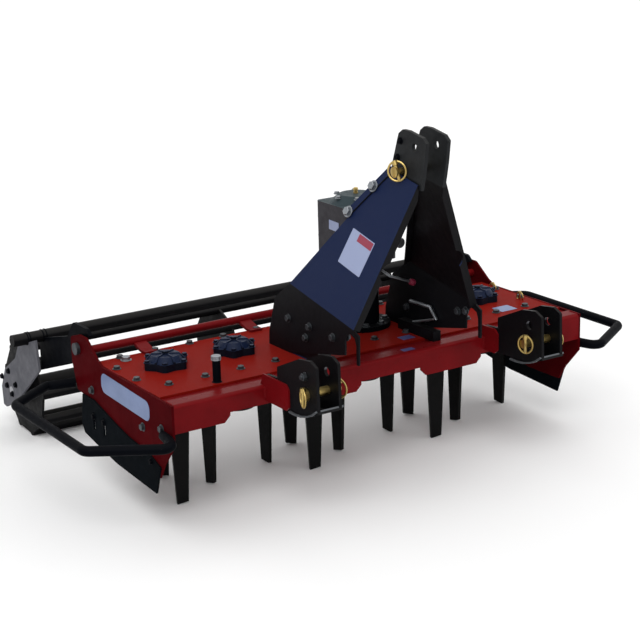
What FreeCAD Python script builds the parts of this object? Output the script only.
"""Power harrow with a cage roller: six geared rotors under a trough, behind a three-point headstock.

X runs across the machine, +Y points to the rear (the roller side), +Z up. The ground is at Z = 0 and
the origin lies on it, in the middle of the machine's length and width. All lengths are in millimetres.
"""
import FreeCAD, Part
import math
import os

import Sketcher
from FreeCAD import Placement, Rotation, Vector

# name, value, what it measures.  Fore-and-aft places ("_y") are measured from the row of rotors.
SIZES = [
    # the whole machine
    ("rotor_row_y", -154, "row of rotors from the middle of the machine's length"),
    ("gap_weld", 0.05, "play between a round piece and the hole it is welded or clamped in"),
    ("gap_run", 0.05, "play of a shaft in its bearing"),
    # rotors and tines
    ("rotor_pitch", 250, "distance between neighbouring rotors"),
    ("rotor_turn", 13.5, "rest angle of a rotor from the row, in degrees"),
    ("tine_radius", 127, "middle of a tine's thickness from the rotor's axis"),
    ("tine_thick", 13, "thickness of a tine"),
    ("tine_top_width", 60, "width of a tine where it is bolted on"),
    ("tine_tip_width", 37, "width of a tine at its tip"),
    ("tine_shoulder_z", 232, "height where a tine starts to taper"),
    ("tine_top_z", 288, "top of a tine"),
    ("tine_tip_slant", 7, "rise of a tip's end across its width"),
    ("tine_bolt_r", 8, "bolts that hold a tine"),
    ("holder_low_z", 236, "underside of a tine holder"),
    ("holder_high_z", 284, "top of a tine holder"),
    ("holder_hub_r", 62, "hub of a tine holder"),
    ("holder_arm_half", 27, "half width of a tine holder's arm at the hub"),
    ("spigot_r", 37, "rotor shaft in its bearing"),
    # gear trough
    ("trough_low_z", 312, "underside of the trough"),
    ("trough_half_y", 141, "half width of the trough over its walls"),
    ("trough_bevel", 26, "bevel between the trough's floor and its walls"),
    ("trough_flange_y", 178, "half width of the trough over its flanges"),
    ("trough_flange", 8, "thickness of the trough's flange"),
    ("cover_z", 412, "underside of the cover plate"),
    ("cover_thick", 8, "thickness of the cover plate"),
    ("cover_front_y", -258, "front edge of the cover plate"),
    ("cover_end_gap", 3, "gap between cover plate and side plate"),
    ("bearing_r", 72, "lower bearing housing"),
    ("bearing_deep", 20, "height of the lower bearing housing"),
    ("cap_r", 80, "bearing cap over the points of its bolt lugs"),
    ("cap_waist_r", 60, "bearing cap between two lugs"),
    ("cap_lug_high", 24, "height of a bearing cap's lugs"),
    ("cap_lug_round", 14, "rounding of a lug"),
    ("cap_drum_r", 57, "foot of the drum over the lugs"),
    ("cap_crown_r", 45, "crown of the drum"),
    ("cap_drum_high", 18, "height of the drum over the lugs"),
    # front beam
    ("beam_front_y", -355, "front face of the front beam"),
    ("beam_wall", 6, "sheet of the front beam"),
    ("beam_flange", 55, "depth of the front beam's top flange"),
    ("beam_low_z", 360, "lower edge of the front beam"),
    ("beam_bend_r", 12, "outer bend of the front beam"),
    ("lobe_pitch", 480, "distance between the lobes of the front beam"),
    ("lobe_half", 123, "half width of a lobe"),
    ("lobe_low_z", 330, "lower edge of a lobe"),
    ("lobe_bevel", 20, "bevelled corner of a lobe"),
    ("cheek_wall", 6, "cheeks of the front beam that clasp the hitch brackets"),
    ("cheek_deep", 135, "how far the outer cheeks stand out in front of the beam"),
    ("cheek_short", 70, "how far the inner cheeks stand out in front of the beam"),
    ("cheek_high", 35, "how far the cheeks rise over the beam"),
    # side plates and deflectors
    ("side_out", 46, "outer face of a side plate beyond the row of rotors"),
    ("side_wall", 8, "thickness of a side plate"),
    ("side_low_z", 160, "lower edge of a side plate"),
    ("side_belly_front_y", -254, "front end of a side plate's lower edge"),
    ("side_belly_rear_y", -90, "rear end of a side plate's lower edge"),
    ("ear_top_z", 490, "top of a side plate's rear ear"),
    ("ear_rear_y", 340, "rear edge of a side plate's ear"),
    ("ear_long", 65, "length of the ear's top from its rear edge"),
    ("ear_round", 20, "rounded corners of the ear"),
    ("deflector_wall", 6, "thickness of a deflector"),
    ("deflector_low_z", 106, "lowest point of a deflector"),
    ("deflector_high", 186, "height of a deflector at its rear"),
    ("deflector_front_y", -271, "front point of a deflector"),
    ("deflector_rear_y", 281, "rear point of a deflector"),
    ("slot_y", 110, "front adjusting slot of a deflector"),
    ("slot_pitch", 75, "distance between the two slots"),
    ("slot_low", 84, "foot of a slot over the deflector's lowest point"),
    ("slot_high", 60, "length of a deflector's slot"),
    ("slot_r", 7, "half width of a deflector's slot"),
    # rear tube
    ("rear_tube_r", 14, "rear tube"),
    ("rear_tube_y", 240, "rear tube"),
    ("rear_tube_z", 443, "rear tube"),
    ("tab_wide", 44, "flat bars that carry the rear tube"),
    ("tab_thick", 8, "flat bars that carry the rear tube"),
    # lower hitch brackets
    ("hitch_inner_x", 381, "inner face of a bracket's inner plate"),
    ("hitch_plate", 10, "thickness of a bracket's plate"),
    ("hitch_gap", 65.5, "clear width between a bracket's plates"),
    ("hitch_pin_r", 14, "lower hitch pin"),
    ("hitch_pin_y", -583, "lower hitch pin"),
    ("hitch_pin_z", 451, "lower hitch pin"),
    ("hitch_spare_y", -580, "spare hole above the hitch pin"),
    ("hitch_spare_z", 507, "spare hole above the hitch pin"),
    ("hitch_top_z", 560, "top of a bracket"),
    ("hitch_crown_y", -607, "highest point of a bracket"),
    ("hitch_front_y", -643, "front edge of a bracket"),
    ("hitch_rear_y", -420, "rear edge of a bracket's upper part"),
    ("hitch_low_z", 372, "underside of a bracket at the beam"),
    ("hitch_toe_z", 412, "lower end of a bracket's front edge"),
    ("skid_thick", 8, "curved skid plate under a bracket"),
    # headstock
    ("foot_x", 236.5, "outer face of a headstock foot from the middle"),
    ("foot_rail", 30, "width of the rail that a foot is welded to"),
    ("foot_rail_high", 34, "height of that rail"),
    ("foot_rear_y", -110, "rear end of that rail"),
    ("foot_toe_y", -520, "front edge of a foot"),
    ("foot_toe_z", 478, "lower end of a foot's front edge"),
    ("foot_strip", 12, "strip of sheet in front of a foot's arched cut-out"),
    ("foot_arch_y", -445, "rear edge of the arched cut-out"),
    ("foot_arch_z", 569, "top of the arched cut-out"),
    ("leg_wall", 6, "sheet of a headstock leg and its foot"),
    ("leg_depth", 26, "depth of a leg's folded edges"),
    ("leg_top_x", 52, "outer face of a leg at its top"),
    ("leg_rear_low_y", -134, "rear end of the bend between foot and leg"),
    ("leg_rear_low_z", 656, "rear end of the bend between foot and leg"),
    ("leg_front_low_y", -495, "front end of the bend between foot and leg"),
    ("leg_front_low_z", 585, "front end of the bend between foot and leg"),
    ("leg_top_ahead", 24, "front corner of a leg's top ahead of the top-link hole"),
    ("leg_top_drop", 109, "front corner of a leg's top below the top-link hole"),
    ("leg_top_behind", 116, "rear corner of a leg's top behind the top-link hole"),
    ("leg_rear_drop", 81, "rear corner of a leg's top below the top-link hole"),
    ("ear_inner_x", 34, "inner face of a top-link ear"),
    ("ear_wall", 12, "thickness of a top-link ear"),
    ("top_link_y", -556, "top-link hole"),
    ("top_link_z", 1131, "top-link hole"),
    ("top_link_r", 12.75, "top-link hole"),
    ("lock_pin_behind", 63, "cross pin behind the top-link hole"),
    ("lock_pin_drop", 80, "cross pin below the top-link hole"),
    ("lock_pin_r", 11, "cross pin below the top-link hole"),
    # gearbox
    ("gearbox_half", 98, "half width of the gearbox"),
    ("gearbox_y", 17, "middle of the gearbox"),
    ("gearbox_low_z", 655, "underside of the gearbox"),
    ("gearbox_high_z", 848, "top edge of the gearbox"),
    ("gearbox_crown", 26, "height of the gearbox's crowned lid"),
    ("column_r", 62, "column that carries the gearbox"),
    ("column_neck_r", 88, "flange at the column's head"),
    ("column_foot_r", 100, "flange at the column's foot"),
    ("column_foot", 16, "thickness of the column's flanges"),
    ("rear_cap_r", 78, "bulged cap on the gearbox's rear"),
    ("rear_cap_deep", 26, "depth of the rear cap"),
    ("input_z", 752, "height of the input shaft"),
    ("input_boss_r", 52, "bearing boss of the input shaft"),
    ("input_boss_deep", 59, "depth of that boss"),
    ("input_journal_r", 20, "input shaft in its bearing"),
    ("input_journal", 60, "length of the input shaft in its bearing"),
    ("input_shaft_r", 17.4, "input shaft"),
    ("input_relief_r", 15.5, "relief groove of the input shaft, next to its bearing"),
    ("input_relief", 3, "width of the relief groove"),
    ("input_shaft_y", -240, "front end of the input shaft"),
    ("drive_space_r", 32, "space that the legs' folded edges leave round a drive shaft"),
    # side guards
    ("hoop_r", 16, "side guard tube"),
    ("hoop_z", 312, "height of a side guard"),
    ("hoop_out", 252, "outer run of a side guard beyond its side plate"),
    ("hoop_bend_r", 30, "bends of a side guard"),
    ("hoop_front_y", -415, "front corner of a side guard"),
    ("hoop_rear_y", 352, "rear corner of a side guard"),
    # roller
    ("pivot_y", 288, "pivot of the roller arms"),
    ("pivot_z", 440, "pivot of the roller arms"),
    ("pivot_r", 12, "pivot bolt"),
    ("arm_gap", 8, "gap between a roller arm and its side plate"),
    ("arm_wall", 12, "thickness of a roller arm"),
    ("arm_rise", 72, "top of an arm over its pivot"),
    ("arm_nose", 60, "front end of an arm ahead of its pivot"),
    ("arm_round", 20, "rounded front end of an arm"),
    ("carrier_r", 21, "cross tube that carries the roller"),
    ("carrier_y", 620, "cross tube that carries the roller"),
    ("carrier_z", 400, "cross tube that carries the roller"),
    ("carrier_out", 52, "how far the cross tube stands out of an end plate"),
    ("end_plate_gap", 39, "gap between the roller and an end plate"),
    ("end_plate_wall", 8, "thickness of a roller end plate"),
    ("roller_y", 790, "axis of the roller"),
    ("roller_r", 170, "roller over its bars"),
    ("roller_half", 790, "half length of the roller"),
    ("bar_r", 17, "bars of the roller"),
    ("roller_turn", 16, "rest angle of the roller's lowest bar, in degrees"),
    ("disc_wall", 8, "cornered discs of the roller"),
    ("disc_rim", 12, "corner of a disc outside the middle of its bar"),
    ("roller_core_r", 38, "core tube of the roller"),
    ("stub_r", 17.5, "stub axle of the roller"),
    ("roller_bearing_r", 55, "flange bearing of the roller"),
    ("roller_bearing_deep", 24, "depth of the flange bearing"),
]
ROTORS = 6
GEARBOX_ROTOR = 4
LOBES = 4
ROLLER_BARS = 9
ROLLER_DISCS = 3
CAP_LUGS = 6
# places that follow from the sizes
DERIVED = [
    ("side_x", f"=rotor_pitch * {ROTORS} / 2 + side_out", "outer face of a side plate from the middle"),
    ("hoop_x", "=side_x + hoop_out", "outer run of a side guard from the middle"),
    ("arm_x", "=side_x - side_wall - arm_gap - arm_wall", "inner face of a roller arm from the middle"),
]

doc = FreeCAD.newDocument("PowerHarrow")
sheet = doc.addObject("Spreadsheet::Sheet", "Sizes")
for row, (alias, value, note) in enumerate(SIZES + DERIVED, start=1):
    sheet.set(f"A{row}", note)
    sheet.set(f"B{row}", str(value))
    sheet.setAlias(f"B{row}", alias)
doc.recompute()


class Size:
    """A length that knows its number and the sheet expression that gives it."""

    def __init__(self, value, text=None):
        self.value = float(value)
        self.text = text or f"({self.value!r})"

    def __add__(self, other):
        other = as_size(other)
        return Size(self.value + other.value, f"({self.text} + {other.text})")

    def __sub__(self, other):
        other = as_size(other)
        return Size(self.value - other.value, f"({self.text} - {other.text})")

    def __mul__(self, factor):
        other = as_size(factor)
        return Size(self.value * other.value, f"({self.text} * {other.text})")

    def __truediv__(self, factor):
        return self * (1.0 / factor)

    def __neg__(self):
        return self * -1.0

    def __radd__(self, other):
        return as_size(other) + self

    def __rsub__(self, other):
        return as_size(other) - self

    __rmul__ = __mul__


def as_size(number):
    return number if isinstance(number, Size) else Size(number)


class Sheet:
    """Gives each cell of the sheet by its alias."""

    def __getattr__(self, alias):
        return Size(sheet.get(alias), f"Sizes.{alias}")


S = Sheet()
parts = []


def bind(item, **sizes):
    """Tie properties of an object to the sheet."""
    for name, size in sizes.items():
        item.setExpression(name, as_size(size).text)
    return item


def keep(item, label):
    """Make a finished object a sub-part of its own, set on the row of rotors."""
    item.Label = label
    item.setExpression(".Placement.Base.y", S.rotor_row_y.text)
    parts.append(item)
    return item


# ---- sketches and prisms -----------------------------------------------------------------------

def constrain(sketch, kind, size, *where):
    """Give a sketch a dimension that follows the sheet."""
    index = sketch.addConstraint(Sketcher.Constraint(kind, *where, size.value))
    sketch.setExpression(f"Constraints[{index}]", size.text)


def add_polygon(sketch, corners):
    """A closed polygon whose corners are (across, up) sizes."""
    corners = [(as_size(u), as_size(v)) for u, v in corners]
    spots = [Vector(u.value, v.value, 0) for u, v in corners]
    first = sketch.GeometryCount
    count = len(spots)
    sketch.addGeometry([Part.LineSegment(spots[i], spots[(i + 1) % count]) for i in range(count)])
    for i in range(count):
        following = first + (i + 1) % count
        sketch.addConstraint(Sketcher.Constraint("Coincident", first + i, 2, following, 1))
    for i, (u, v) in enumerate(corners):
        constrain(sketch, "DistanceX", u, -1, 1, first + i, 1)
        constrain(sketch, "DistanceY", v, -1, 1, first + i, 1)


def add_circle(sketch, across, up, radius):
    """A circle with its centre at (across, up)."""
    across, up, radius = as_size(across), as_size(up), as_size(radius)
    centre = Vector(across.value, up.value, 0)
    index = sketch.addGeometry(Part.Circle(centre, Vector(0, 0, 1), radius.value))
    constrain(sketch, "DistanceX", across, -1, 1, index, 3)
    constrain(sketch, "DistanceY", up, -1, 1, index, 3)
    constrain(sketch, "Radius", radius, index)


def new_body(name):
    return doc.addObject("PartDesign::Body", name)


def add_pad(body, plane, start, thick, corners=(), circles=(), loops=()):
    """A pad on an origin plane, from start to start + thick along the plane's positive axis.

    A YZ sketch runs along Y and Z, an XZ sketch along X and Z, an XY sketch along X and Y.
    """
    start, thick = as_size(start), as_size(thick)
    origin = next(o for o in body.Origin.OriginFeatures if o.Role == f"{plane}_Plane")
    sketch = body.newObject("Sketcher::SketchObject", f"{body.Name}Sketch")
    sketch.AttachmentSupport = [(origin, "")]
    sketch.MapMode = "FlatFace"
    offset = -(start + thick) if plane == "XZ" else start
    sketch.setExpression(".AttachmentOffset.Base.z", offset.text)
    if corners:
        add_polygon(sketch, corners)
    for loop in loops:
        add_polygon(sketch, loop)
    for circle in circles:
        add_circle(sketch, *circle)
    pad = body.newObject("PartDesign::Pad", f"{body.Name}Pad")
    pad.Profile = sketch
    bind(pad, Length=thick)
    return pad


def round_edges(body, base, radius, wanted):
    """Fillet the edges of a feature whose middle meets a test."""
    doc.recompute()
    names = []
    for number, edge in enumerate(base.Shape.Edges, start=1):
        middle = edge.valueAt((edge.FirstParameter + edge.LastParameter) / 2)
        if wanted(edge, middle):
            names.append(f"Edge{number}")
    fillet = body.newObject("PartDesign::Fillet", f"{body.Name}Fillet")
    fillet.Base = (base, names)
    bind(fillet, Radius=radius)
    return fillet


def near(size, number, slack=0.5):
    return abs(as_size(size).value - number) < slack


def along(edge, axis):
    """True where a straight edge runs along an axis (0, 1 or 2)."""
    if edge.Curve.TypeId != "Part::GeomLine":
        return False
    return abs(abs(edge.Curve.Direction[axis]) - 1) < 1e-6


def corner_test(axis, spots):
    """Test for edges along an axis that stand at one of the (across, up) spots."""
    others = [i for i in range(3) if i != axis]

    def wanted(edge, middle):
        if not along(edge, axis):
            return False
        return any(near(u, middle[others[0]]) and near(v, middle[others[1]]) for u, v in spots)

    return wanted


def ring_of(count, radii, across, up, start=0):
    """Corners round (across, up), at each of the radii in turn."""
    corners = []
    for number in range(count):
        turn = math.radians(start + 360 / count * number)
        radius = radii[number % len(radii)]
        corners.append((across + radius * math.cos(turn), up + radius * math.sin(turn)))
    return corners


# ---- round pieces, unions and mirrors ----------------------------------------------------------

TURN = {"x": Rotation(Vector(0, 1, 0), 90), "y": Rotation(Vector(1, 0, 0), -90), "z": Rotation()}


def rod(name, axis, radius, start, length, at):
    """A cylinder along an axis, starting at start; at holds its two other coordinates."""
    item = doc.addObject("Part::Cylinder", name)
    bind(item, Radius=radius, Height=length)
    return put(item, axis, start, at)


def cone(name, axis, radius, end_radius, start, length, at):
    """A cone along an axis."""
    item = doc.addObject("Part::Cone", name)
    bind(item, Radius1=radius, Radius2=end_radius, Height=length)
    return put(item, axis, start, at)


def put(item, axis, start, at):
    """Set a round piece with its foot at start on an axis and its middle at the two others."""
    item.Placement = Placement(Vector(), TURN[axis])
    spot = list(at)
    spot.insert("xyz".index(axis), start)
    for letter, size in zip("xyz", spot):
        item.setExpression(f".Placement.Base.{letter}", as_size(size).text)
    return item


def block(name, low, sides):
    """A box from its low corner."""
    item = doc.addObject("Part::Box", name)
    bind(item, Length=sides[0], Width=sides[1], Height=sides[2])
    for letter, size in zip("xyz", low):
        item.setExpression(f".Placement.Base.{letter}", as_size(size).text)
    return item


def fuse(name, items):
    union = doc.addObject("Part::MultiFuse", name)
    union.Shapes = items
    return union


def cut(name, base, tools):
    """A solid less one or more others."""
    result = doc.addObject("Part::Cut", name)
    result.Base = base
    result.Tool = tools[0] if len(tools) == 1 else fuse(f"{name}Tools", tools)
    return result


def group(name, items):
    """Like pieces that don't touch, as one object."""
    compound = doc.addObject("Part::Compound", name)
    compound.Links = items
    return compound


def mirror(source, name):
    """The same piece on the machine's other side."""
    item = doc.addObject("Part::Mirroring", name)
    item.Source = source
    item.Normal = Vector(1, 0, 0)
    return item


def both_sides(right, stem):
    """Keep a right-hand piece and its mirror image, which takes its place from it."""
    keep(right, f"{stem}_right")
    left = mirror(right, f"{stem}Left")
    left.Label = f"{stem}_left"
    parts.append(left)


def bent_tube(name, points, radius, bend):
    """A solid round tube along straight runs joined by bends, from the sheet's numbers."""
    spots = [Vector(*(as_size(c).value for c in p)) for p in points]
    edges = []
    start = spots[0]
    for before, corner, after in zip(spots, spots[1:], spots[2:]):
        into = (corner - before).normalize()
        out = (after - corner).normalize()
        half_turn = into.getAngle(out) / 2
        back = bend * math.tan(half_turn)
        arc_start = corner - into * back
        arc_end = corner + out * back
        inward = (out - into).normalize()
        middle = corner + inward * (bend / math.cos(half_turn) - bend)
        edges.append(Part.LineSegment(start, arc_start).toShape())
        edges.append(Part.Arc(arc_start, middle, arc_end).toShape())
        start = arc_end
    edges.append(Part.LineSegment(start, spots[-1]).toShape())
    path = Part.Wire(edges)
    ring = Part.Wire(Part.Circle(spots[0], spots[1] - spots[0], radius).toShape())
    item = doc.addObject("Part::Feature", name)
    item.Shape = path.makePipeShell([ring], True, False)
    return item


# ---- rotors ------------------------------------------------------------------------------------

def make_rotor_blanks():
    """The holder and the pair of tines that every rotor repeats, round the Z axis."""
    high = S.holder_high_z - S.holder_low_z
    face = S.tine_radius - S.tine_thick / 2
    arm = new_body("HolderArm")
    half_end = S.tine_top_width / 2
    add_pad(arm, "XY", S.holder_low_z, high, [
        (-face, -half_end), (-(face - 26), -half_end), (0, -S.holder_arm_half), (face - 26, -half_end),
        (face, -half_end), (face, half_end), (face - 26, half_end), (0, S.holder_arm_half),
        (-(face - 26), half_end), (-face, half_end)])
    hub = rod("HolderHub", "z", S.holder_hub_r, S.holder_low_z, high, (0, 0))
    spigot = rod("HolderSpigot", "z", S.spigot_r, S.holder_high_z,
                 S.trough_low_z - S.holder_high_z - 2, (0, 0))
    holder = fuse("HolderBlank", [arm, hub, spigot])

    tines = []
    for name, side in (("TineA", 1), ("TineB", -1)):
        tine = new_body(name)
        start = face if side == 1 else -(face + S.tine_thick)
        top, tip = S.tine_top_width / 2 * side, S.tine_tip_width / 2 * side
        bolt_z = (S.holder_low_z + S.holder_high_z) / 2
        add_pad(tine, "YZ", start, S.tine_thick, [
            (-top, S.tine_top_z), (-top, S.tine_shoulder_z), (-tip, 0), (tip, S.tine_tip_slant),
            (top, S.tine_shoulder_z), (top, S.tine_top_z)],
            circles=[(-15, bolt_z, S.tine_bolt_r), (15, bolt_z, S.tine_bolt_r)])
        tines.append(tine)
    return holder, tines


def make_rotors():
    """Six rotors in mesh: each stands a quarter turn from its neighbours and turns against them."""
    holder, tines = make_rotor_blanks()
    for number in range(ROTORS):
        x = S.rotor_pitch * (number - (ROTORS - 1) / 2)
        angle = -S.rotor_turn - 90 if number % 2 == 0 else S.rotor_turn
        for stem, items in (("rotor_holder", [holder]), ("rotor_tines", tines)):
            piece = group(f"{stem}{number + 1}", items)
            piece.Placement = Placement(Vector(), Rotation(Vector(0, 0, 1), 10))
            piece.setExpression(".Placement.Rotation.Angle", angle.text)
            piece.setExpression(".Placement.Base.x", x.text)
            keep(piece, f"{stem}_{number + 1}")


def rotor_x(number):
    return S.rotor_pitch * (number - (ROTORS - 1) / 2)


def make_bearings():
    """Lower bearing housings, under the trough, and the lobed caps on its cover."""
    low = S.trough_low_z - S.bearing_deep
    housings, caps = [], []
    top = S.cover_z + S.cover_thick
    for number in range(ROTORS):
        x = rotor_x(number)
        shell = rod(f"Housing{number}", "z", S.bearing_r, low, S.bearing_deep, (x, 0))
        bore = rod(f"HousingBore{number}", "z", S.spigot_r + S.gap_run, low, S.bearing_deep, (x, 0))
        housings.append(cut(f"HousingCut{number}", shell, [bore]))
        if number == GEARBOX_ROTOR - 1:
            continue
        outline = ring_of(CAP_LUGS * 2, [S.cap_r, S.cap_waist_r], x, 0)
        star = new_body(f"CapStar{number}")
        pad = add_pad(star, "XY", top, S.cap_lug_high, outline)
        round_edges(star, pad, S.cap_lug_round, corner_test(2, outline[::2]))
        drum = cone(f"CapDrum{number}", "z", S.cap_drum_r, S.cap_crown_r, top + S.cap_lug_high,
                    S.cap_drum_high, (x, 0))
        caps.append(fuse(f"Cap{number}", [star, drum]))
    keep(group("Housings", housings), "rotor_bearings")
    keep(group("Caps", caps), "bearing_caps")


# ---- trough, cover, front beam -----------------------------------------------------------------

def make_trough():
    """The gear trough, its cover plate and the front beam with four lobes."""
    inner = S.side_x - S.side_wall
    wall, flange = S.trough_half_y, S.trough_flange_y
    under = S.cover_z - S.trough_flange
    bevel = S.trough_bevel
    trough = new_body("Trough")
    add_pad(trough, "YZ", -inner, inner * 2, [
        (-flange, S.cover_z), (-flange, under), (-wall, under), (-wall, S.trough_low_z + bevel),
        (-(wall - bevel), S.trough_low_z), (wall - bevel, S.trough_low_z),
        (wall, S.trough_low_z + bevel), (wall, under), (flange, under), (flange, S.cover_z)])
    keep(trough, "gear_trough")

    end = inner - S.cover_end_gap
    cover = new_body("Cover")
    add_pad(cover, "XY", S.cover_z, S.cover_thick, [
        (-end, S.cover_front_y), (end, S.cover_front_y), (end, flange), (-end, flange)])
    keep(cover, "trough_cover")

    top = S.cover_z + S.cover_thick
    front, wall = S.beam_front_y, S.beam_wall
    beam = new_body("FrontBeam")
    shelf_high = S.cover_z
    sheet_pad = add_pad(beam, "YZ", -inner, inner * 2, [
        (front, S.beam_low_z), (front, top), (front + S.beam_flange, top),
        (front + S.beam_flange, shelf_high), (-flange, shelf_high), (-flange, under),
        (front + wall, under), (front + wall, S.beam_low_z)])
    beam.Tip = sheet_pad
    lobes = []
    for number in range(LOBES):
        middle = S.lobe_pitch * (number - (LOBES - 1) / 2)
        half, bevel = S.lobe_half, S.lobe_bevel
        left, right = middle - half, middle + half
        if number == 0:
            left = -inner
        if number == LOBES - 1:
            right = inner
        corners = [(left, S.beam_low_z + 2), (left, S.lobe_low_z + bevel), (left + bevel, S.lobe_low_z),
                   (right - bevel, S.lobe_low_z), (right, S.lobe_low_z + bevel),
                   (right, S.beam_low_z + 2)]
        if number == 0:
            corners[1:3] = [(left, S.lobe_low_z)]
        if number == LOBES - 1:
            corners[-3:-1] = [(right, S.lobe_low_z)]
        lobes.append(corners)
    lobe_pad = add_pad(beam, "XZ", front, wall, loops=lobes)
    round_edges(beam, lobe_pad, S.beam_bend_r, corner_test(0, [(front, top)]))
    rise, inside = top + S.cheek_high, front + S.beam_wall / 2
    outer_face = S.hitch_inner_x + S.hitch_plate * 2 + S.hitch_gap
    for low, deep in ((S.hitch_inner_x - S.cheek_wall, S.cheek_short), (outer_face, S.cheek_deep),
                      (-S.hitch_inner_x, S.cheek_short), (-outer_face - S.cheek_wall, S.cheek_deep)):
        tip = front - deep
        add_pad(beam, "YZ", low, S.cheek_wall, [
            (inside, S.hitch_low_z), (tip + 15, S.hitch_low_z), (tip, S.hitch_low_z + 13), (tip, rise - 15),
            (tip + 15, rise), (front + 10, rise), (front + S.beam_flange / 2, top - wall / 2),
            (inside, top - S.beam_bend_r)])
    keep(beam, "front_beam")


# ---- side plates, deflectors, rear tube, side guards -------------------------------------------

def make_sides():
    """Side plates with their rear ears, and the slotted deflectors bolted outside them."""
    inner = S.side_x - S.side_wall
    top = S.cover_z + S.cover_thick
    low, ear, rear = S.side_low_z, S.ear_top_z, S.ear_rear_y
    belly_front, belly_rear = S.side_belly_front_y, S.side_belly_rear_y
    crown = rear - S.ear_long
    outline = [
        (S.beam_front_y, top), (S.beam_front_y, low + 130), (belly_front - 31, low + 52),
        (belly_front, low), (belly_rear, low), (belly_rear + 150, low + 36),
        (rear - 125, ear - 207), (rear - 30, ear - 195), (rear, ear - 109), (rear, ear - 20),
        (crown, ear), (crown - 53, ear), (crown - 125, ear - 52), (crown - 163, top)]
    plate = new_body("SidePlate")
    pad = add_pad(plate, "YZ", inner, S.side_wall, outline,
                  circles=[(S.pivot_y, S.pivot_z, S.pivot_r + S.gap_weld)])
    rounded = [(rear, ear - 109), (rear, ear - 20), (crown - 53, ear)]
    round_edges(plate, pad, S.ear_round, corner_test(0, rounded))
    both_sides(plate, "side_plate")

    low, high = S.deflector_low_z, S.deflector_low_z + S.deflector_high
    front, rear = S.deflector_front_y, S.deflector_rear_y
    deflector = new_body("Deflector")
    slot_low = low + S.slot_low
    slots = []
    for y in (S.slot_y, S.slot_y + S.slot_pitch):
        slots.append([(y - S.slot_r, slot_low), (y + S.slot_r, slot_low),
                      (y + S.slot_r, slot_low + S.slot_high), (y - S.slot_r, slot_low + S.slot_high)])
    add_pad(deflector, "YZ", S.side_x, S.deflector_wall, [
        (front, low + 94), (front + 34, low), (rear - 251, low + 14), (rear - 150, low + 29),
        (rear - 18, low + 52), (rear, low + 81), (rear - 18, high), (rear - 100, high),
        (rear - 260, high - 39), (front + 210, high - 55), (front + 76, high - 67)], loops=slots)
    both_sides(deflector, "deflector")


def make_rear_tube():
    """Rear tube between the side plates, on four flat bars from the cover plate."""
    inner = S.side_x - S.side_wall
    tube = rod("RearTube", "x", S.rear_tube_r, -inner, inner * 2, (S.rear_tube_y, S.rear_tube_z))
    top = S.cover_z + S.cover_thick
    tabs = []
    for number, x in enumerate((-600, -200, 200, 600)):
        tab = new_body(f"Tab{number}")
        add_pad(tab, "YZ", x - S.tab_wide / 2, S.tab_wide, [
            (150, top), (188, top), (S.rear_tube_y, S.rear_tube_z - 8),
            (S.rear_tube_y, S.rear_tube_z + 2), (180, top + S.tab_thick), (150, top + S.tab_thick)])
        tabs.append(tab)
    keep(fuse("RearTubeSet", [tube] + tabs), "rear_tube")


def make_guards():
    """Bent-tube guards that stand out from each side plate."""
    z, x = S.hoop_z, S.hoop_x
    face, front, rear = S.side_x, S.hoop_front_y, S.hoop_rear_y
    points = [(face, front + 120, z), (face + 10, front + 65, z), (face + 32, front, z),
              (x, front + 140, z), (x, rear - 115, z), (face + 92, rear, z), (face, rear - 22, z)]
    guard = bent_tube("GuardRight", points, S.hoop_r.value, S.hoop_bend_r.value)
    around = S.hoop_r * 3
    trim = block("GuardTrim", (face, front - around, z - around),
                 (x - face + around, rear - front + around * 2, around * 2))
    flush = doc.addObject("Part::Common", "GuardFlush")
    flush.Base = guard
    flush.Tool = trim
    both_sides(flush, "side_guard")


# ---- three-point hitch -------------------------------------------------------------------------

def make_hitch_brackets():
    """Lower hitch brackets: two plates each, over a curved skid plate, with the hitch pin."""
    front, crown, high = S.hitch_front_y, S.hitch_crown_y, S.hitch_top_z
    beam, rear, low, toe = S.beam_front_y, S.hitch_rear_y, S.hitch_low_z, S.hitch_toe_z
    skid = S.skid_thick
    outline = [
        (beam, low), (beam, S.cover_z + S.cover_thick + S.cheek_high), (rear, low + 88),
        (rear, high - 64), (crown + 64, high - 9), (crown, high), (front + 4, high - 14),
        (front, toe), (front + 66, low + 16), (rear - 67, low + 7)]
    holes = [(S.hitch_pin_y, S.hitch_pin_z, S.hitch_pin_r + S.gap_weld),
             (S.hitch_spare_y, S.hitch_spare_z, S.hitch_pin_r + S.gap_weld)]
    outer_x = S.hitch_inner_x + S.hitch_plate + S.hitch_gap
    pieces = []
    for name, x in (("HitchPlateInner", S.hitch_inner_x), ("HitchPlateOuter", outer_x)):
        plate = new_body(name)
        pad = add_pad(plate, "YZ", x, S.hitch_plate, outline, holes)
        round_edges(plate, pad, skid, corner_test(0, [(front + 4, high - 14), (rear, high - 64)]))
        pieces.append(plate)
    sole = new_body("Skid")
    add_pad(sole, "YZ", S.hitch_inner_x, S.hitch_gap + S.hitch_plate * 2, [
        (front, toe), (front + 66, low + 16), (rear - 67, low + 7), (rear - 67, low - 1),
        (front + 64, low + 16 - skid), (front - 5, toe - 6)])
    both_sides(fuse("HitchBracketSet", pieces + [sole]), "hitch_bracket")

    outer_face = outer_x + S.hitch_plate
    at = (S.hitch_pin_y, S.hitch_pin_z)
    shank = rod("HitchShank", "x", S.hitch_pin_r, S.hitch_inner_x - 30, outer_face - S.hitch_inner_x + 38,
                at)
    head = rod("HitchHead", "x", S.hitch_pin_r + 6, outer_face + 0.3, 10, at)
    both_sides(fuse("HitchPin", [shank, head]), "hitch_pin")


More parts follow.
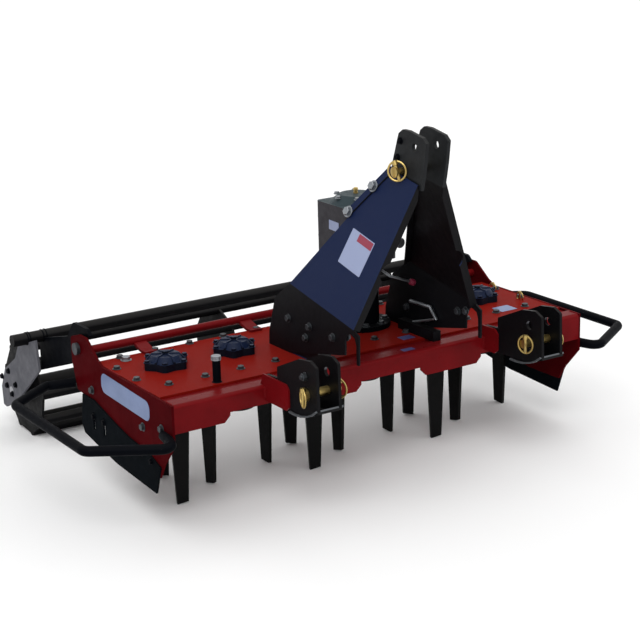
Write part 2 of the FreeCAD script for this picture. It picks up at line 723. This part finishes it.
def make_headstock():
    """Vertical feet, folded legs that lean in to the top, and the two top-link ears."""
    top = S.cover_z + S.cover_thick
    wall = S.leg_wall
    foot = new_body("Foot")
    toe, strip, arch_y, arch_z = S.foot_toe_y, S.foot_strip, S.foot_arch_y, S.foot_arch_z
    add_pad(foot, "YZ", S.foot_x - wall, wall, [
        (8, top), (5, top + 45), (-38, top + 170), (S.leg_rear_low_y, S.leg_rear_low_z),
        (S.leg_front_low_y, S.leg_front_low_z), (toe - 2, S.leg_front_low_z - 14),
        (toe, S.foot_toe_z), (toe + strip, S.foot_toe_z), (toe + strip, arch_z - 29),
        (toe + strip + 8, arch_z - 9), ((toe + strip + arch_y) / 2, arch_z), (arch_y - 17, arch_z - 6),
        (arch_y - 2, arch_z - 29), (arch_y, top + 73), (S.foot_rear_y - 10, top)])
    rail = new_body("FootRail")
    rail_in = S.foot_x - wall - S.foot_rail
    rear_end, front_end = S.foot_rear_y, S.beam_front_y + S.beam_flange - 10
    add_pad(rail, "XY", top, S.foot_rail_high, [
        (rail_in, rear_end), (S.foot_x - wall, rear_end), (S.foot_x - wall, front_end),
        (rail_in, front_end)])
    both_sides(fuse("FootSet", [foot, rail]), "headstock_foot")

    def spot(x, y, z):
        return Vector(x.value, y.value, z.value)

    rear_low = spot(S.foot_x, S.leg_rear_low_y, S.leg_rear_low_z)
    front_low = spot(S.foot_x, S.leg_front_low_y, S.leg_front_low_z)
    link_y, link_z = S.top_link_y, S.top_link_z
    front_top = spot(S.leg_top_x, link_y - S.leg_top_ahead, link_z - S.leg_top_drop)
    normal = (front_low - rear_low).cross(front_top - rear_low).normalize()
    if normal.x < 0:
        normal = normal * -1
    rear_top = spot(S.leg_top_x, link_y + S.leg_top_behind, link_z - S.leg_rear_drop)
    rear_top = rear_top - normal * (rear_top - rear_low).dot(normal)
    face = Part.Face(Part.makePolygon([rear_low, front_low, front_top, rear_top, rear_low]))
    shell = face.extrude(normal * -S.leg_depth.value)
    rear_in = rear_low + (front_low - rear_low).normalize() * wall.value
    front_in = front_low - (front_low - rear_low).normalize() * wall.value
    front_top_in = front_top + (rear_top - front_top).normalize() * wall.value
    rear_top_in = rear_top - (rear_top - front_top).normalize() * wall.value
    up = (front_top_in - front_in).normalize() * 30
    rear_up = (rear_top_in - rear_in).normalize() * 30
    hollow_face = Part.Face(Part.makePolygon([
        rear_in - rear_up, front_in - up, front_top_in + up, rear_top_in + rear_up,
        rear_in - rear_up]))
    hollow = hollow_face.extrude(normal * -S.leg_depth.value * 2)
    hollow.translate(normal * -wall.value)
    folded = shell.cut(hollow)

    ear = new_body("TopEar")
    pin_y, pin_z = link_y + S.lock_pin_behind, link_z - S.lock_pin_drop
    ahead, behind = link_y - S.leg_top_ahead, link_y + S.leg_top_behind
    add_pad(ear, "YZ", S.ear_inner_x, S.ear_wall, [
        (link_y + 81, link_z + 33), (link_y + 60, link_z + 47), (link_y + 30, link_z + 47),
        (link_y - 41, link_z + 34), (link_y - 58, link_z + 19), (link_y - 49, link_z - 44),
        (ahead - 15, link_z - S.leg_top_drop + 18), (ahead - 6, link_z - S.leg_top_drop - 18),
        (behind + 10, link_z - S.leg_rear_drop - 20), (behind - 4, link_z - S.leg_rear_drop + 30)],
        [(link_y, link_z, S.top_link_r), (pin_y, pin_z, S.lock_pin_r + S.gap_weld)])
    doc.recompute()
    reach = S.ear_inner_x + S.ear_wall
    ear_space = Part.makeBox(reach.value, ear.Shape.BoundBox.YLength * 3, link_z.value,
                             Vector(0, ear.Shape.BoundBox.YMin - ear.Shape.BoundBox.YLength, top.value))
    drive_space = Part.makeCylinder(S.drive_space_r.value, -toe.value * 2,
                                    Vector(rotor_x(GEARBOX_ROTOR - 1).value, 0, S.input_z.value),
                                    Vector(0, -1, 0))
    leg = doc.addObject("Part::Feature", "Leg")
    leg.Shape = folded.cut(foot.Shape).cut(ear_space).cut(drive_space)
    both_sides(leg, "headstock_leg")
    both_sides(ear, "top_link_ear")
    reach = reach + 26
    shank = rod("LockShank", "x", S.lock_pin_r, -reach, reach * 2, (pin_y, pin_z))
    head = rod("LockHead", "x", S.lock_pin_r + 6, -reach - 6, 6, (pin_y, pin_z))
    keep(fuse("LockPin", [shank, head]), "headstock_lock_pin")


def make_gearbox():
    """Bevel gearbox on its column, the bulged rear cap and the input shaft."""
    x, half = rotor_x(GEARBOX_ROTOR - 1), S.gearbox_half
    front, rear = S.gearbox_y - half, S.gearbox_y + half
    top = S.cover_z + S.cover_thick
    foot = rod("ColumnFoot", "z", S.column_foot_r, top, S.column_foot, (x, 0))
    column = rod("Column", "z", S.column_r, top, S.gearbox_low_z - top, (x, 0))
    neck = rod("ColumnNeck", "z", S.column_neck_r, S.gearbox_low_z - S.column_foot, S.column_foot,
               (x, 0))
    keep(fuse("ColumnSet", [foot, column, neck]), "gearbox_column")

    body = new_body("Gearbox")
    pad = add_pad(body, "XY", S.gearbox_low_z, S.gearbox_high_z - S.gearbox_low_z, [
        (x - half, front), (x + half, front), (x + half, rear), (x - half, rear)])
    round_edges(body, pad, 18, lambda edge, middle: along(edge, 2))
    lid = cone("GearboxLid", "z", half - 6, half - 42, S.gearbox_high_z, S.gearbox_crown,
               (x, S.gearbox_y))
    seal = front - S.input_boss_deep
    boss = rod("InputBoss", "y", S.input_boss_r, seal, S.input_boss_deep + 10, (x, S.input_z))
    bore = rod("InputBore", "y", S.input_journal_r + S.gap_run, seal, S.input_journal + 1,
               (x, S.input_z))
    box = fuse("GearboxSet", [body, lid, boss])
    keep(cut("GearboxCut", box, [bore]), "gearbox")
    bulge = cone("RearCap", "y", S.rear_cap_r, S.rear_cap_r - 22, rear, S.rear_cap_deep,
                 (x, S.input_z + 6))
    keep(group("RearCapSet", [bulge]), "gearbox_rear_cap")
    at = (x, S.input_z)
    free = seal - S.input_relief - S.input_shaft_y
    splined = rod("InputShaft", "y", S.input_shaft_r, S.input_shaft_y, free, at)
    relief = rod("InputRelief", "y", S.input_relief_r, seal - S.input_relief, S.input_relief, at)
    journal = rod("InputJournal", "y", S.input_journal_r, seal, S.input_journal, at)
    keep(fuse("InputShaftSet", [splined, relief, journal]), "input_shaft")


# ---- roller ------------------------------------------------------------------------------------

def roller_z():
    """Height of the roller's axis, with its lowest bar on the ground."""
    lowest = math.cos(math.radians(S.roller_turn.value))
    return (S.roller_r - S.bar_r) * lowest + S.bar_r


def make_roller_arms():
    """Arms from the side plates' ears, the cross tube on them and the end plates of the roller."""
    y0, z0, rise, nose = S.pivot_y, S.pivot_z, S.arm_rise, S.arm_nose
    cy, cz = S.carrier_y, S.carrier_z
    seat_y = cy + 22
    arm = new_body("RollerArm")
    pad = add_pad(arm, "YZ", S.arm_x, S.arm_wall, [
        (y0 - nose, z0 + rise - 18), (y0 - nose + 20, z0 + rise), (y0 + 62, z0 + rise),
        (y0 + 112, z0 + rise - 60), (seat_y, cz - 14), (seat_y, cz - 100), (cy + 14, cz - 121),
        (y0 + 112, z0 - rise - 8), (y0, z0 - rise + 25), (y0 - 24, z0 - 25), (y0 - 24, z0 + 38),
        (y0 - nose, z0 + rise - 23)],
        [(y0, z0, S.pivot_r + S.gap_run)])
    rounded = [(y0 - nose + 20, z0 + rise), (y0 + 62, z0 + rise), (y0 - 24, z0 - 25)]
    round_edges(arm, pad, S.arm_round, corner_test(0, rounded))
    seat = rod("ArmSeat", "x", S.carrier_r + S.gap_weld, S.arm_x, S.arm_wall, (cy, cz))
    both_sides(cut("RollerArmSeated", arm, [seat]), "roller_arm")

    pivot = rod("Pivot", "x", S.pivot_r, S.arm_x - 6, S.side_x - S.arm_x + 12, (y0, z0))
    head = rod("PivotHead", "x", S.pivot_r + 8, S.side_x + 0.3, 12, (y0, z0))
    both_sides(fuse("PivotBolt", [pivot, head]), "arm_pivot")

    face, end_wall = S.roller_half + S.end_plate_gap, S.end_plate_wall
    reach = face + end_wall + S.carrier_out
    carrier = rod("Carrier", "x", S.carrier_r, -reach, reach * 2, (cy, cz))
    keep(group("CarrierSet", [carrier]), "roller_cross_tube")

    y, z = S.roller_y, roller_z()
    end = new_body("EndPlate")
    add_pad(end, "YZ", face, end_wall, [
        (cy - 76, cz + 12), (cy + 78, cz - 43), (cy + 115, cz - 100), (y + 47, z + 72),
        (y + 89, z - 3), (y + 84, z - 70), (y + 58, z - 74), (y - 51, z - 21), (cy - 90, cz - 94)],
        [(y, z, S.stub_r + S.gap_run)])
    end_seat = rod("EndSeat", "x", S.carrier_r + S.gap_weld, face, end_wall, (cy, cz))
    both_sides(cut("EndPlateSeated", end, [end_seat]), "roller_end_plate")

    start, deep = face - S.roller_bearing_deep, S.roller_bearing_deep
    flange = rod("RollerBearingBody", "x", S.roller_bearing_r, start, deep, (y, z))
    bore = rod("RollerBearingBore", "x", S.stub_r + S.gap_run, start, deep, (y, z))
    both_sides(cut("RollerBearing", flange, [bore]), "roller_bearing")


def make_roller():
    """The cage roller: bars round cornered discs on a core tube with a stub axle at each end."""
    y, z, half = S.roller_y, roller_z(), S.roller_half
    pitch_r = S.roller_r - S.bar_r
    first = -90 - S.roller_turn.value
    items = [rod("Core", "x", S.roller_core_r, -half, half * 2, (y, z))]
    for number in range(ROLLER_DISCS):
        share = number / (ROLLER_DISCS - 1)
        disc = new_body(f"Disc{number}")
        add_pad(disc, "YZ", -half + (half * 2 - S.disc_wall) * share, S.disc_wall,
                ring_of(ROLLER_BARS, [pitch_r + S.disc_rim], y, z, first))
        items.append(disc)
    for number, at in enumerate(ring_of(ROLLER_BARS, [pitch_r], y, z, first)):
        items.append(rod(f"Bar{number}", "x", S.bar_r, -half, half * 2, at))
    keep(fuse("RollerCage", items), "roller_cage")
    reach = S.end_plate_gap + S.end_plate_wall
    stubs = [rod("StubRight", "x", S.stub_r, half, reach, (y, z)),
             rod("StubLeft", "x", S.stub_r, -half - reach, reach, (y, z))]
    keep(group("Stubs", stubs), "roller_stub_axles")


# ---- build, check and write --------------------------------------------------------------------

def check_document():
    """Stop on any object that failed or any sub-part without a sound solid."""
    doc.recompute()
    for item in doc.Objects:
        if {"Invalid", "Error"} & set(item.State):
            raise RuntimeError(f"{item.Name} failed: {item.State} {item.getStatusString()}")
    for item in parts:
        shape = item.Shape
        if shape.isNull() or not shape.isValid() or not shape.Solids:
            raise RuntimeError(f"{item.Label} has no sound solid")


def write_parts():
    """Write each sub-part to a STEP file named for its node."""
    os.makedirs("parts", exist_ok=True)
    for item in parts:
        item.Shape.exportStep(f"parts/{item.Label}.step")


make_trough()
make_bearings()
make_rotors()
make_sides()
make_rear_tube()
make_guards()
make_hitch_brackets()
make_headstock()
make_gearbox()
make_roller_arms()
make_roller()
check_document()
write_parts()
box = FreeCAD.BoundBox()
for item in parts:
    box.add(item.Shape.BoundBox)
print(f"{len(parts)} sub-parts, {box}")
